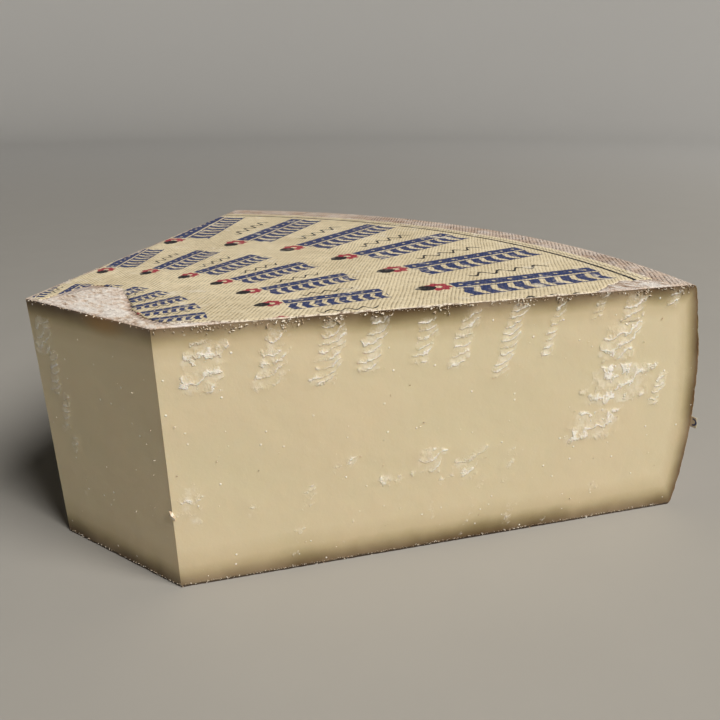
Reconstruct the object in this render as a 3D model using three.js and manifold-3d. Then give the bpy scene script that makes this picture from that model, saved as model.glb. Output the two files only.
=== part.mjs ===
// A wedge of hard mountain cheese, cut from a large washed-rind wheel, with the wheel's printed paper
// label still on its upper face. Millimetres, +Z up, standing on the wheel's lower face.
// The cheese is one formed piece: paste and natural rind grew together. The label and a scrap of the
// rim's paper are separate pieces that lie on the rind.

import * as THREE from 'three';
import { mergeVertices } from 'three/addons/utils/BufferGeometryUtils.js';
import Module from 'manifold-3d';

const wasm = await Module();
wasm.setup();

// The wheel: a flat drum whose side bulges most below half height. Its radius is that of the upper
// edge; the bulge and the lower edge stand out beyond it.
const WHEEL_HEIGHT = 115.9;
const WHEEL_RADIUS = 284.3;
const BULGE_OUT = 9.2;
const BULGE_HEIGHT = 46;
const LOWER_EDGE_OUT = 4.7;
const EDGE_ROUNDING = 2.4;

// The three cuts. A bearing is the compass of the cut's outward normal about the wheel's axis, from +X
// towards +Y. A distance is from that axis to the cut at the upper face, positive where the axis is on
// the cheese's side. A flare is how far the cut's foot stands outside its upper edge.
const HALF_ANGLE = 32.98;
const FRONT_CUT = { bearing: -HALF_ANGLE, distance: 14.95, flare: -0.7 };
const BACK_CUT = { bearing: 180 + HALF_ANGLE, distance: 20.66, flare: 1.1 };
const NOSE_CUT = { bearing: -80.38, distance: -26.66, flare: 0.8 };

// The paper label, a thin disc laid slightly off the wheel's centre before the wheel was cut. The
// margin is what it is smaller than the wheel by, and the setback is how far it has torn back from
// the cuts.
const LABEL_MARGIN = 7.8;
const LABEL_OFFSET_X = 6.4;
const LABEL_OFFSET_Y = -10.5;
const LABEL_THICKNESS = 0.35;
const LABEL_SETBACK = 1.2;

// Where the paper is torn away: a bite from the nose's left end, and one along the front cut just
// before the heel. A start is measured along the cut, anticlockwise from that corner, and a depth is
// in from the cut. An outline gives shares of the tear's length and depth.
const NOSE_TEAR = {
  start: 9, length: 70, depth: 31,
  outline: [[0.02, 0.3], [0, 0.7], [0.15, 1], [0.27, 0.9], [0.45, 0.57], [0.62, 0.33], [0.85, 0.17]],
};
const HEEL_TEAR = {
  start: -48, length: 40, depth: 14,
  outline: [[0.12, 0.55], [0.45, 1], [0.8, 0.9]],
};

// The scrap of printed paper that has lifted off the rim's bulge beside the front cut. The drop is
// from the bulge down to the scrap's lower edge.
const SCRAP_HEIGHT = 6.4;
const SCRAP_DROP = 4.4;
const SCRAP_LENGTH = 15;
const SCRAP_THICKNESS = 0.35;
const SCRAP_LIFT = 3;
const SCRAP_GAP = 0.3;

// Fineness of the faceted solids.
const WHEEL_SEGMENTS = 300;
const ROUNDING_STEPS = 4;
const SIDE_STEPS = 18;
const TEAR_STEPS = 40;
const SCRAP_STEPS = 10;

const BULGE_RADIUS = WHEEL_RADIUS + BULGE_OUT;
const LOWER_EDGE_RADIUS = WHEEL_RADIUS + LOWER_EDGE_OUT;
const LABEL_RADIUS = WHEEL_RADIUS - LABEL_MARGIN;
const SCRAP_BASE = BULGE_HEIGHT - SCRAP_DROP;
const REACH = 2 * BULGE_RADIUS;
const radians = THREE.MathUtils.degToRad;

const paste = new THREE.MeshStandardMaterial({ color: 0xcbb994, roughness: 0.5, metalness: 0 });
const labelPaper = new THREE.MeshStandardMaterial({ color: 0xcbbd90, roughness: 0.85, metalness: 0 });
const scrapPaper = new THREE.MeshStandardMaterial({ color: 0xd8ccab, roughness: 0.85, metalness: 0 });

// A closed geometry as a solid that can be joined and cut.
function toSolid(geometry) {
  const bare = geometry.clone();
  bare.deleteAttribute('normal');
  bare.deleteAttribute('uv');
  const merged = mergeVertices(bare, 1e-5);
  return new wasm.Manifold(new wasm.Mesh({
    numProp: 3,
    vertProperties: new Float32Array(merged.attributes.position.array),
    triVerts: new Uint32Array(merged.index.array),
  }));
}

// A solid back as a geometry with flat facets.
function toGeometry(solid) {
  const mesh = solid.getMesh();
  const geometry = new THREE.BufferGeometry();
  geometry.setAttribute('position', new THREE.BufferAttribute(mesh.vertProperties, mesh.numProp));
  geometry.setIndex(new THREE.BufferAttribute(mesh.triVerts, 1));
  geometry.computeVertexNormals();
  return geometry;
}

// Everything outside a cut, moved inwards by setback: a block whose inner face is the cut.
function outsideOf(cut, setback = 0) {
  const block = new THREE.BoxGeometry(REACH, 2 * REACH, 2 * REACH);
  block.translate(REACH / 2, 0, 0);
  block.rotateY(-Math.atan2(cut.flare, WHEEL_HEIGHT));
  block.translate(cut.distance - setback, 0, WHEEL_HEIGHT);
  block.rotateZ(radians(cut.bearing));
  return toSolid(block);
}

function trimToWedge(solid, setback = 0) {
  return solid
    .subtract(outsideOf(FRONT_CUT, setback))
    .subtract(outsideOf(BACK_CUT, setback))
    .subtract(outsideOf(NOSE_CUT, setback));
}

// The direction along a cut, anticlockwise seen from above.
function alongCut(cut) {
  const out = radians(cut.bearing);
  return new THREE.Vector2(-Math.sin(out), Math.cos(out));
}

// Where the front cut meets the rim on the upper face.
function heelCorner() {
  const out = radians(FRONT_CUT.bearing);
  const run = Math.sqrt(WHEEL_RADIUS ** 2 - FRONT_CUT.distance ** 2);
  return new THREE.Vector2(Math.cos(out), Math.sin(out))
    .multiplyScalar(FRONT_CUT.distance)
    .addScaledVector(alongCut(FRONT_CUT), run);
}

// Where two cuts meet on the upper face.
function corner(first, second) {
  const a = radians(first.bearing);
  const b = radians(second.bearing);
  const turn = Math.sin(b - a);
  return new THREE.Vector2(
    (first.distance * Math.sin(b) - second.distance * Math.sin(a)) / turn,
    (second.distance * Math.cos(a) - first.distance * Math.cos(b)) / turn,
  );
}

// The rim's radius at a height: a parabola above the bulge and another below it.
function rimRadius(height) {
  const above = height > BULGE_HEIGHT;
  const edge = above ? WHEEL_RADIUS : LOWER_EDGE_RADIUS;
  const span = above ? WHEEL_HEIGHT - BULGE_HEIGHT : BULGE_HEIGHT;
  return BULGE_RADIUS - (BULGE_RADIUS - edge) * ((height - BULGE_HEIGHT) / span) ** 2;
}

// The whole wheel, turned from its half section.
function wheel() {
  const section = [new THREE.Vector2(0, 0)];
  const lowerStart = rimRadius(EDGE_ROUNDING);
  const upperStart = rimRadius(WHEEL_HEIGHT - EDGE_ROUNDING);
  const foot = new THREE.QuadraticBezierCurve(
    new THREE.Vector2(LOWER_EDGE_RADIUS - EDGE_ROUNDING, 0),
    new THREE.Vector2(LOWER_EDGE_RADIUS, 0),
    new THREE.Vector2(lowerStart, EDGE_ROUNDING),
  );
  const shoulder = new THREE.QuadraticBezierCurve(
    new THREE.Vector2(upperStart, WHEEL_HEIGHT - EDGE_ROUNDING),
    new THREE.Vector2(WHEEL_RADIUS, WHEEL_HEIGHT),
    new THREE.Vector2(WHEEL_RADIUS - EDGE_ROUNDING, WHEEL_HEIGHT),
  );
  section.push(...foot.getPoints(ROUNDING_STEPS));
  for (let step = 1; step < SIDE_STEPS; step += 1) {
    const height = THREE.MathUtils.lerp(
      EDGE_ROUNDING, WHEEL_HEIGHT - EDGE_ROUNDING, step / SIDE_STEPS);
    section.push(new THREE.Vector2(rimRadius(height), height));
  }
  section.push(...shoulder.getPoints(ROUNDING_STEPS));
  section.push(new THREE.Vector2(0, WHEEL_HEIGHT));
  const turned = new THREE.LatheGeometry(section, WHEEL_SEGMENTS);
  turned.rotateX(Math.PI / 2);
  return toSolid(turned);
}

// A flat outline raised into a plate.
function plate(outline, below, thickness) {
  const geometry = new THREE.ExtrudeGeometry(outline, {
    depth: thickness, bevelEnabled: false, curveSegments: WHEEL_SEGMENTS,
  });
  geometry.translate(0, 0, below);
  return toSolid(geometry);
}

// A tear's outline on the upper face, starting and ending well outside the cut.
function tear(cut, from, size) {
  const along = alongCut(cut);
  const inward = new THREE.Vector2(-along.y, along.x);
  const place = ([run, depth]) => from.clone()
    .addScaledVector(along, size.start + run * size.length)
    .addScaledVector(inward, depth * size.depth);
  const edge = new THREE.SplineCurve([[0, 0], ...size.outline, [1, 0]].map(place));
  return new THREE.Shape([place([0, -1]), ...edge.getPoints(TEAR_STEPS), place([1, -1])]);
}

function label() {
  const disc = new THREE.Shape();
  disc.absarc(LABEL_OFFSET_X, LABEL_OFFSET_Y, LABEL_RADIUS, 0, 2 * Math.PI);
  const sheet = plate(disc, WHEEL_HEIGHT, LABEL_THICKNESS);
  const through = (outline) => plate(outline, WHEEL_HEIGHT - LABEL_THICKNESS, 3 * LABEL_THICKNESS);
  return trimToWedge(sheet, LABEL_SETBACK)
    .subtract(through(tear(NOSE_CUT, corner(BACK_CUT, NOSE_CUT), NOSE_TEAR)))
    .subtract(through(tear(FRONT_CUT, heelCorner(), HEEL_TEAR)));
}

function polar(radius, angle) {
  return new THREE.Vector2(radius * Math.cos(angle), radius * Math.sin(angle));
}

// The scrap bends away from the rim, most at its free end, which is level with the front cut.
function scrap() {
  const middle = SCRAP_BASE + SCRAP_HEIGHT / 2;
  const rim = BULGE_RADIUS + SCRAP_GAP;
  const lean = FRONT_CUT.flare * (1 - middle / WHEEL_HEIGHT);
  const edge = radians(FRONT_CUT.bearing) + Math.acos((FRONT_CUT.distance + lean) / rim);
  const inner = [];
  const outer = [];
  for (let step = 0; step <= SCRAP_STEPS; step += 1) {
    const share = step / SCRAP_STEPS;
    const angle = edge + (1 - share) * SCRAP_LENGTH / rim;
    const radius = rim + SCRAP_LIFT * share ** 2;
    inner.push(polar(radius, angle));
    outer.push(polar(radius + SCRAP_THICKNESS, angle));
  }
  return plate(new THREE.Shape([...inner, ...outer.reverse()]), SCRAP_BASE, SCRAP_HEIGHT);
}

function piece(name, geometry, material) {
  const mesh = new THREE.Mesh(geometry, material);
  mesh.name = name;
  return mesh;
}

const wedge = new THREE.Group();
wedge.add(piece('cheese_wedge', toGeometry(trimToWedge(wheel())), paste));
wedge.add(piece('printed_label', toGeometry(label()), labelPaper));
wedge.add(piece('heel_label_scrap', toGeometry(scrap()), scrapPaper));

// The origin is under the middle of the whole wedge.
const extent = new THREE.Box3().setFromObject(wedge);
const middle = extent.getCenter(new THREE.Vector3());
wedge.position.set(-middle.x, -middle.y, -extent.min.z);

export default wedge;
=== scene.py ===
import math
import random

import bmesh
import bpy
from mathutils import Matrix, Vector, noise


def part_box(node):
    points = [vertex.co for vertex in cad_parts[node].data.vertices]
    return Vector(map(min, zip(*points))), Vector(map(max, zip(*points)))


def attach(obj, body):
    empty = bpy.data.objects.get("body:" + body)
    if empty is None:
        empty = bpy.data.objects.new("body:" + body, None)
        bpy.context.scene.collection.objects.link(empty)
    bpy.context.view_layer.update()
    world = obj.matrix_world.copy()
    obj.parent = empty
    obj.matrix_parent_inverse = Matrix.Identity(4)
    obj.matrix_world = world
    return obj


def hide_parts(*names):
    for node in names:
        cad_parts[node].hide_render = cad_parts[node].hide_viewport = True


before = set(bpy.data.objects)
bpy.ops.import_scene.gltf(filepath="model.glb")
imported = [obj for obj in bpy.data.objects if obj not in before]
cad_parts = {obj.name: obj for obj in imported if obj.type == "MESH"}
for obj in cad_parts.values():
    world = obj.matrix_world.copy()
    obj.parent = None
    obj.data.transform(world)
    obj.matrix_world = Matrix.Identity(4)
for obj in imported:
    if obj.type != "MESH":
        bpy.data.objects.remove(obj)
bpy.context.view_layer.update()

# The cheese. A sector cut from a pressed, brined and washed wheel of hard mountain cheese: pale dense
# paste inside a thin dry rind. The knife dragged and tore the paste in upright rows of small scales,
# and the cloth that the curd was pressed in left its weave on the rind.
MM = 0.001
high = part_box("cheese_wedge")[1]
WHEEL_HEIGHT = high.z
WHEEL_RADIUS = 284.3 * MM
BULGE_OUT = 9.2 * MM
LOWER_EDGE_OUT = 4.7 * MM
BULGE_RADIUS = WHEEL_RADIUS + BULGE_OUT
LOWER_EDGE_RADIUS = WHEEL_RADIUS + LOWER_EDGE_OUT
BULGE_HEIGHT = 46 * MM
EDGE_ROUNDING = 2.4 * MM


class Cut:
    """A flat cut: the bearing of its outward normal about the wheel's axis, its distance from that
    axis at the upper face, and how far its foot stands outside its upper edge."""

    def __init__(self, bearing, distance, flare):
        self.bearing = math.radians(bearing)
        self.out = Vector((math.cos(self.bearing), math.sin(self.bearing)))
        self.along = Vector((-self.out.y, self.out.x))
        self.top = distance * MM
        self.flare = flare * MM

    def distance(self, z):
        return self.top + self.flare * (1 - z / WHEEL_HEIGHT)


FRONT = Cut(-32.98, 14.95, -0.7)
BACK = Cut(212.98, 20.66, 1.1)
NOSE = Cut(-80.38, -26.66, 0.8)


def rim_radius(z):
    """The wheel's radius at a height: one parabola above the bulge and another below it."""
    above = z > BULGE_HEIGHT
    edge = WHEEL_RADIUS if above else LOWER_EDGE_RADIUS
    span = WHEEL_HEIGHT - BULGE_HEIGHT if above else BULGE_HEIGHT
    radius = BULGE_RADIUS - (BULGE_RADIUS - edge) * ((z - BULGE_HEIGHT) / span) ** 2
    from_edge = min(z, WHEEL_HEIGHT - z)
    if from_edge < EDGE_ROUNDING:
        share = 1 - from_edge / EDGE_ROUNDING
        radius -= EDGE_ROUNDING * (1 - math.sqrt(max(0, 1 - share * share)))
    return radius


def meeting(first, second, z):
    """Where two cuts meet at a height, from the wheel's axis."""
    a, b = first.distance(z), second.distance(z)
    turn = first.out.x * second.out.y - first.out.y * second.out.x
    return Vector((a * second.out.y - b * first.out.y, b * first.out.x - a * second.out.x)) / turn


def rim_bearing(cut, z, side):
    """The bearing at which a cut meets the rim."""
    return cut.bearing + side * math.acos(cut.distance(z) / rim_radius(z))


widest = rim_bearing(FRONT, BULGE_HEIGHT, 1)
AXIS = Vector((high.x - BULGE_RADIUS * math.cos(widest), high.y - BULGE_RADIUS))


def smooth(low_edge, high_edge, value):
    """0 at the low edge and 1 at the high one, with a soft change between them."""
    share = min(1, max(0, (value - low_edge) / (high_edge - low_edge)))
    return share * share * (3 - 2 * share)


def rough(x, y, z, size, seed=0.0):
    """Soft noise from -1 to 1, with blotches of about this size."""
    return noise.noise(Vector((x / size + seed, y / size - seed, z / size + 0.5 * seed)))


# Rows of torn scales on a cut: run along the cut, upper and lower end, width, pitch of the scales
# and strength, in millimetres. The rows lean, with their upper end further along.
FRONT_ROWS = [
    (17, 110, 88, 15, 9.0, 1.0), (44, 113, 87, 11, 5.2, 0.7), (66, 115, 86, 11, 3.6, 0.8),
    (84, 114, 90, 9, 3.9, 0.9), (106, 113, 90, 9, 3.7, 0.75), (123, 113, 88, 9, 4.1, 0.85),
    (144, 114, 80, 8, 3.3, 0.95), (164, 114, 87, 6, 3.6, 0.75), (186, 116, 103, 6, 3.1, 0.7),
    (203, 114, 101, 11, 5.6, 1.0), (198, 101, 83, 17, 6.4, 1.0), (223, 116, 106, 7, 4.3, 0.8),
    (201, 81, 62, 37, 15.5, 1.0), (222, 75, 58, 6, 3.6, 0.95), (189, 59, 44, 29, 12.5, 1.0),
    (71, 53, 45, 12, 6.1, 0.6),
    (92, 42, 33, 13, 6.4, 0.55), (110, 51, 38, 13, 6.9, 0.8), (128, 49, 32, 14, 7.3, 0.7),
    (148, 46, 27, 7, 6.2, 0.45), (52, 41, 4, 7, 3.9, 0.4), (32, 40, 22, 8, 7.1, 0.3),
    (6, 49, 29, 12, 8.8, 0.5), (94, 30, 3, 6, 4.7, 0.25), (112, 37, 5, 6, 4.9, 0.35),
    (131, 34, 1, 5, 4.3, 0.35), (150, 17, 1, 7, 4.8, 0.45), (171, 16, 1, 5, 4.2, 0.35),
    (74, 29, 6, 5, 5.2, 0.25), (194, 21, 13, 8, 6.3, 0.4), (8, 12, 1, 5, 3.4, 0.3),
]
NOSE_ROWS = [
    (8, 110, 92, 11, 4.6, 1.0), (12, 95, 74, 7, 3.8, 1.0), (15, 76, 56, 6, 3.5, 1.0),
    (18, 57, 46, 5, 3.2, 0.85), (20, 40, 22, 4, 6.4, 0.5),
]
chance = random.Random(11)
BACK_ROWS_AT = range(24, 209, 23)
BACK_ROWS = [
    (middle + chance.uniform(-6, 6), 114, chance.uniform(70, 98), chance.uniform(6, 14),
     chance.uniform(3.4, 7), chance.uniform(0.5, 0.9))
    for middle in BACK_ROWS_AT
] + [
    (chance.uniform(10, 225), 50 + chance.uniform(-16, 14), chance.uniform(4, 30),
     chance.uniform(5, 12), chance.uniform(3.8, 7), chance.uniform(0.3, 0.6))
    for _ in range(9)
]
ROW_LEAN = 0.26
SCALE_TILT = 0.42
SCALE_SAG = 0.75
WIDE_ROW = 16


def scales(run, z, rows, seed):
    """How strongly the paste is torn here, from 0 to 1, and a count of scales from the row's top."""
    strongest, turns = 0.0, 0.0
    for middle, upper, lower, width, pitch, strength in rows:
        if abs(run - middle) > width + 9 or not lower - 5 < z < upper + 4:
            continue
        across = run - middle - ROW_LEAN * (z - (upper + lower) / 2)
        ragged = 0.22 * width * rough(run, z, seed, 3.2, middle)
        soft = 2.0 + 0.3 * max(0, width - WIDE_ROW)
        side = smooth(0.5 * width + 1.6, 0.5 * width - soft, abs(across) + ragged)
        ends = smooth(lower - 2.5, lower + 2.5, z) * smooth(upper + 2, upper - 2, z)
        shown = side * ends * strength * (0.8 + 0.3 * rough(run, z, seed, 8, middle))
        if shown > strongest:
            wobble = 0.5 * rough(run, z, seed, 6.0, middle) + 0.14 * rough(run, z, seed, 2.4, middle)
            drop = upper - z + SCALE_TILT * across + SCALE_SAG * across * across / width
            strongest, turns = shown, drop / pitch + wobble
    return strongest, turns


# The wall is made of upright columns, stretch by stretch round the outline, and of level rows.
NOSE_COLUMNS = 66
FRONT_COLUMNS = 284
RIM_COLUMNS = 112
BACK_COLUMNS = 98
COLUMNS = NOSE_COLUMNS + FRONT_COLUMNS + RIM_COLUMNS + BACK_COLUMNS
ROUNDING_ROWS = 4


def rise(start, end, count):
    """Heights in equal steps, without the last."""
    return [start + (end - start) * step / count for step in range(count)]


quarter = [EDGE_ROUNDING * (1 - math.cos(math.pi / 2 * step / ROUNDING_ROWS))
           for step in range(ROUNDING_ROWS)]
FINE_FROM = 78 * MM
LOWER_ROWS = 62
UPPER_ROWS = 45
HEIGHTS = (quarter
           + rise(EDGE_ROUNDING, FINE_FROM, LOWER_ROWS)
           + rise(FINE_FROM, WHEEL_HEIGHT - EDGE_ROUNDING, UPPER_ROWS)
           + [WHEEL_HEIGHT - depth for depth in reversed(quarter + [EDGE_ROUNDING])])

cheese = bmesh.new()
depth_layer = cheese.verts.layers.float.new("rind_depth")
torn_layer = cheese.verts.layers.float.new("torn")
turns_layer = cheese.verts.layers.float.new("scale_turns")
bare_layer = cheese.verts.layers.float.new("bare_rind")
bmesh.ops.create_grid(cheese, x_segments=COLUMNS, y_segments=len(HEIGHTS) - 1, size=0.5)


def wall_point(column, z):
    """A place on the wedge's wall, its outward direction, its run along the stretch in millimetres
    and the stretch's name."""
    if column < NOSE_COLUMNS:
        start, end = meeting(BACK, NOSE, z), meeting(NOSE, FRONT, z)
        place = start.lerp(end, column / NOSE_COLUMNS)
        return place, NOSE.out, (place - start).length / MM, "nose"
    column -= NOSE_COLUMNS
    if column < FRONT_COLUMNS:
        start = meeting(NOSE, FRONT, z)
        bearing = rim_bearing(FRONT, z, 1)
        end = rim_radius(z) * Vector((math.cos(bearing), math.sin(bearing)))
        place = start.lerp(end, column / FRONT_COLUMNS)
        return place, FRONT.out, (place - start).length / MM, "front"
    column -= FRONT_COLUMNS
    from_bearing, to_bearing = rim_bearing(FRONT, z, 1), rim_bearing(BACK, z, -1)
    if column < RIM_COLUMNS:
        bearing = from_bearing + (to_bearing - from_bearing) * column / RIM_COLUMNS
        out = Vector((math.cos(bearing), math.sin(bearing)))
        return out * rim_radius(z), out, rim_radius(z) * (bearing - from_bearing) / MM, "rim"
    column -= RIM_COLUMNS
    start = rim_radius(z) * Vector((math.cos(to_bearing), math.sin(to_bearing)))
    place = start.lerp(meeting(BACK, NOSE, z), column / BACK_COLUMNS)
    return place, BACK.out, (place - start).length / MM, "back"


# How far a place is inside the rind counts for less above the foot and for more inside the rim, so the
# brown under the rind is widest along the foot.
FOOT_SHARE = 0.76
RIM_SHARE = 1.25
SCALE_LIFT = 0.36
CUT_ROWS = {"nose": NOSE_ROWS, "front": FRONT_ROWS, "back": BACK_ROWS}
for vertex in cheese.verts:
    column = round((vertex.co.x + 0.5) * COLUMNS)
    z = HEIGHTS[round((vertex.co.y + 0.5) * (len(HEIGHTS) - 1))]
    place, out, run, stretch = wall_point(column % COLUMNS, z)
    from_rim = rim_radius(z) - place.length
    inside = min(WHEEL_HEIGHT - z, FOOT_SHARE * z, RIM_SHARE * from_rim + 0.1 * MM)
    from_edge = min(WHEEL_HEIGHT - z, z)
    fade = smooth(0, 1.5 * MM, from_edge)
    x, y, level = place.x / MM, place.y / MM, z / MM
    torn, turns = 0.0, 0.0
    if stretch == "rim":
        lift = 0.5 * rough(x, y, level, 26) + 0.35 * rough(x, y, level, 6) + 0.4 * rough(x, y, level, 2.5)
        lift = (lift - 0.35) * fade
        inside = 0
    else:
        torn, turns = scales(run, level, CUT_ROWS[stretch], len(stretch))
        share = turns - math.floor(turns)
        flap = torn * (0.3 + share ** 1.6 * smooth(1.0, 0.85, share))
        waviness = 0.3 * rough(x, y, level, 60) + 0.05 * rough(x, y, level, 9)
        lift = (SCALE_LIFT * flap + waviness - 0.3) * fade
        lift -= 0.35 * smooth(1.6, 0.2, from_edge / MM) * (0.5 + 0.5 * rough(x, y, level, 2.2))
    vertex.co = (*(place + out * lift * MM + AXIS), z)
    vertex[depth_layer] = inside / MM
    vertex[torn_layer] = torn
    vertex[turns_layer] = turns
bmesh.ops.remove_doubles(cheese, verts=cheese.verts, dist=0.002 * MM)

# Where the paper label still lies on the upper face. Its disc was laid off the wheel's centre, and it
# has torn back from the cuts, most at the nose and beside the heel.
LABEL_CENTRE = Vector((6.4, -10.5)) * MM
LABEL_MARGIN = 7.8 * MM
LABEL_RADIUS = WHEEL_RADIUS - LABEL_MARGIN
NOSE_TEAR = [(0, 0.8), (8.6, 1.6), (9.6, 9), (10.4, 24), (12.5, 29), (16, 31), (21, 31), (28, 28.4),
             (34, 23.5), (41, 18), (51, 11.3), (65, 6.2), (72, 5.2), (80, 5.2)]
FRONT_TEAR = [(0, 5.5), (6, 4.6), (14, 3.8), (22, 2.0), (30, 0.5), (60, 0.2), (150, 0.3), (184, 0.5),
              (190, 5.5), (197, 10.4), (205, 14.6), (216, 13.6), (226, 12.8), (240, 12.8)]
BACK_TEAR = [(0, 0.3), (250, 0.3)]


def along_line(points, value):
    """The line through the points, at a value."""
    for (x0, y0), (x1, y1) in zip(points, points[1:]):
        if value <= x1:
            return y0 + (y1 - y0) * max(0, value - x0) / (x1 - x0)
    return points[-1][1]


def torn_edge(points, run, seed):
    """How far the paper has torn back from a cut, most ragged where it has torn back far."""
    back = along_line(points, run)
    ragged = 0.35 * rough(run, seed, 0, 7) + 0.4 * rough(run, seed, 0, 2.6) + 0.3 * rough(run, seed, 0, 1.1)
    return back + ragged * (0.6 + 1.5 * smooth(2, 7, back))


def paper_cover(place):
    """How far a place on the upper face is inside the paper's edge, in millimetres."""
    nose_left, nose_right = meeting(BACK, NOSE, WHEEL_HEIGHT), meeting(NOSE, FRONT, WHEEL_HEIGHT)
    from_nose = (NOSE.top - place.dot(NOSE.out)) / MM
    from_front = (FRONT.top - place.dot(FRONT.out)) / MM
    from_back = (BACK.top - place.dot(BACK.out)) / MM
    nose_run = (place - nose_left).dot(NOSE.along) / MM
    front_run = (place - nose_right).dot(FRONT.along) / MM
    back_run = (nose_left - place).dot(BACK.along) / MM
    return min(
        from_nose - torn_edge(NOSE_TEAR, nose_run, 3),
        from_front - torn_edge(FRONT_TEAR, front_run, 7),
        from_back - torn_edge(BACK_TEAR, back_run, 11),
        (LABEL_RADIUS - (place - LABEL_CENTRE).length) / MM,
    )


# The upper and lower faces close the wall with rings that shrink towards a point inside the outline.
MIDDLE = AXIS + Vector((0, 165 * MM))
RINGS = [0.989 - 0.0115 * step for step in range(12)] + [0.85 - 0.018 * step for step in range(14)]
LOWER_RINGS = [0.988, 0.97, 0.93]


def ring_scale(before, now):
    """Shrinks a ring about that point, from one share of the outline's size to another."""
    middle = Matrix.Translation((*MIDDLE, 0))
    return middle @ Matrix.Diagonal((now / before, now / before, 1, 1)) @ middle.inverted()


def close_face(z, rings):
    """Closes the wall's open edge at a height, and returns the new faces and their vertices."""
    edges = [edge for edge in cheese.edges
             if edge.is_boundary and all(abs(v.co.z - z) < MM for v in edge.verts)]
    faces, verts, before = [], [], 1.0
    for ring in rings:
        made = bmesh.ops.extrude_edge_only(cheese, edges=edges)["geom"]
        edges = [item for item in made if isinstance(item, bmesh.types.BMEdge) and item.is_boundary]
        inner = list({v for edge in edges for v in edge.verts})
        bmesh.ops.transform(cheese, matrix=ring_scale(before, ring), verts=inner)
        faces += [item for item in made if isinstance(item, bmesh.types.BMFace)]
        verts += inner
        before = ring
    faces += bmesh.ops.contextual_create(cheese, geom=edges)["faces"]
    return faces, verts


PASTE, RIND = 0, 1
bmesh.ops.recalc_face_normals(cheese, faces=cheese.faces)
for face in cheese.faces:
    facing = max(face.normal.xy.dot(cut.out) for cut in (FRONT, BACK, NOSE))
    face.material_index = PASTE if facing > 0.35 else RIND

upper_faces, upper_verts = close_face(WHEEL_HEIGHT, RINGS)
for vertex in upper_verts:
    place = vertex.co.xy - AXIS
    x, y = place.x / MM, place.y / MM
    bare = smooth(1.0, -0.6, paper_cover(place))
    beyond_disc = (place - LABEL_CENTRE).length / MM - LABEL_RADIUS / MM
    crust = 0.2 * rough(x, y, 0, 2.2) + 0.16 * rough(x, y, 0, 5) + 0.12 * rough(x, y, 0, 12)
    vertex.co.z += (bare * (0.26 + crust) - 0.12 * (1 - bare)) * MM
    vertex[bare_layer] = bare * smooth(0.6, -1.4, beyond_disc)
lower_faces, _ = close_face(0, LOWER_RINGS)
for face in upper_faces + lower_faces:
    face.material_index = RIND
bmesh.ops.recalc_face_normals(cheese, faces=cheese.faces)

cloth = cheese.loops.layers.uv.new("cloth")
level_faces = set(upper_faces + lower_faces)
for face in cheese.faces:
    face.smooth = True
    for loop in face.loops:
        place = loop.vert.co.xy - AXIS
        if face in level_faces:
            loop[cloth].uv = place
        else:
            loop[cloth].uv = (math.atan2(place.y, place.x) * BULGE_RADIUS, loop.vert.co.z)
SHARP = math.radians(42)
for edge in cheese.edges:
    edge.smooth = edge.calc_face_angle(0) < SHARP


def finish_mesh(name, shape, *materials):
    """A bmesh as an object of the scene, with its materials."""
    mesh = bpy.data.meshes.new(name)
    shape.to_mesh(mesh)
    shape.free()
    for material in materials:
        mesh.materials.append(material)
    made = bpy.data.objects.new(name, mesh)
    bpy.context.scene.collection.objects.link(made)
    return made


def put(tree, kind, values=None, **settings):
    """A new node. Values go to its inputs, each a number, a colour or another node's output."""
    node = tree.nodes.new("ShaderNode" + kind)
    for name, setting in settings.items():
        setattr(node, name, setting)
    for name, value in (values or {}).items():
        if isinstance(value, bpy.types.NodeSocket):
            tree.links.new(value, node.inputs[name])
        else:
            node.inputs[name].default_value = value
    return node


def calc(tree, operation, *values):
    """The result of a Math node."""
    return put(tree, "Math", dict(enumerate(values)), operation=operation).outputs[0]


def span(tree, value, low_end, high_end, from_value=0.0, to_value=1.0):
    """A smooth change from one value to another as the input goes from its low to its high end."""
    values = {"Value": value, "From Min": low_end, "From Max": high_end,
              "To Min": from_value, "To Max": to_value}
    return put(tree, "MapRange", values, interpolation_type="SMOOTHSTEP").outputs["Result"]


def blend(tree, factor, first, second, how="MIX"):
    """Two colours mixed."""
    node = put(tree, "Mix", data_type="RGBA", blend_type=how)
    for name, value in (("Factor_Float", factor), ("A_Color", first), ("B_Color", second)):
        socket = next(item for item in node.inputs if item.identifier == name)
        if isinstance(value, bpy.types.NodeSocket):
            tree.links.new(value, socket)
        else:
            socket.default_value = value
    return next(item for item in node.outputs if item.identifier == "Result_Color")


def grain(tree, where, size, detail=2.0, roughness=0.5):
    """Noise from 0 to 1 with blotches of about a size in metres."""
    values = {"Vector": where, "Scale": 1 / size, "Detail": detail, "Roughness": roughness}
    return put(tree, "TexNoise", values).outputs["Fac"]


def tint(red, green, blue):
    """A colour given as it looks on a screen, as the light it reflects."""
    return (*(((c / 255 + 0.055) / 1.055) ** 2.4 for c in (red, green, blue)), 1)


def new_look(name):
    """A new material, with its tree and its surface shader."""
    material = bpy.data.materials.new(name)
    material.use_nodes = True
    tree = material.node_tree
    tree.nodes.clear()
    surface = put(tree, "BsdfPrincipled")
    tree.links.new(surface.outputs[0], put(tree, "OutputMaterial").inputs["Surface"])
    return material, tree, surface


def connect(tree, surface, **sockets):
    """Links outputs to the surface's sockets, which are named with _ for a space."""
    for name, value in sockets.items():
        tree.links.new(value, surface.inputs[name.replace("_", " ")])


def raised(tree, *layers):
    """A normal from heights in metres, each layer a height and a depth, laid on one another."""
    normal = None
    for height, depth in layers:
        values = {"Height": height, "Distance": depth, "Strength": 1.0}
        if normal:
            values["Normal"] = normal
        normal = put(tree, "Bump", values).outputs["Normal"]
    return normal


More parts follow.
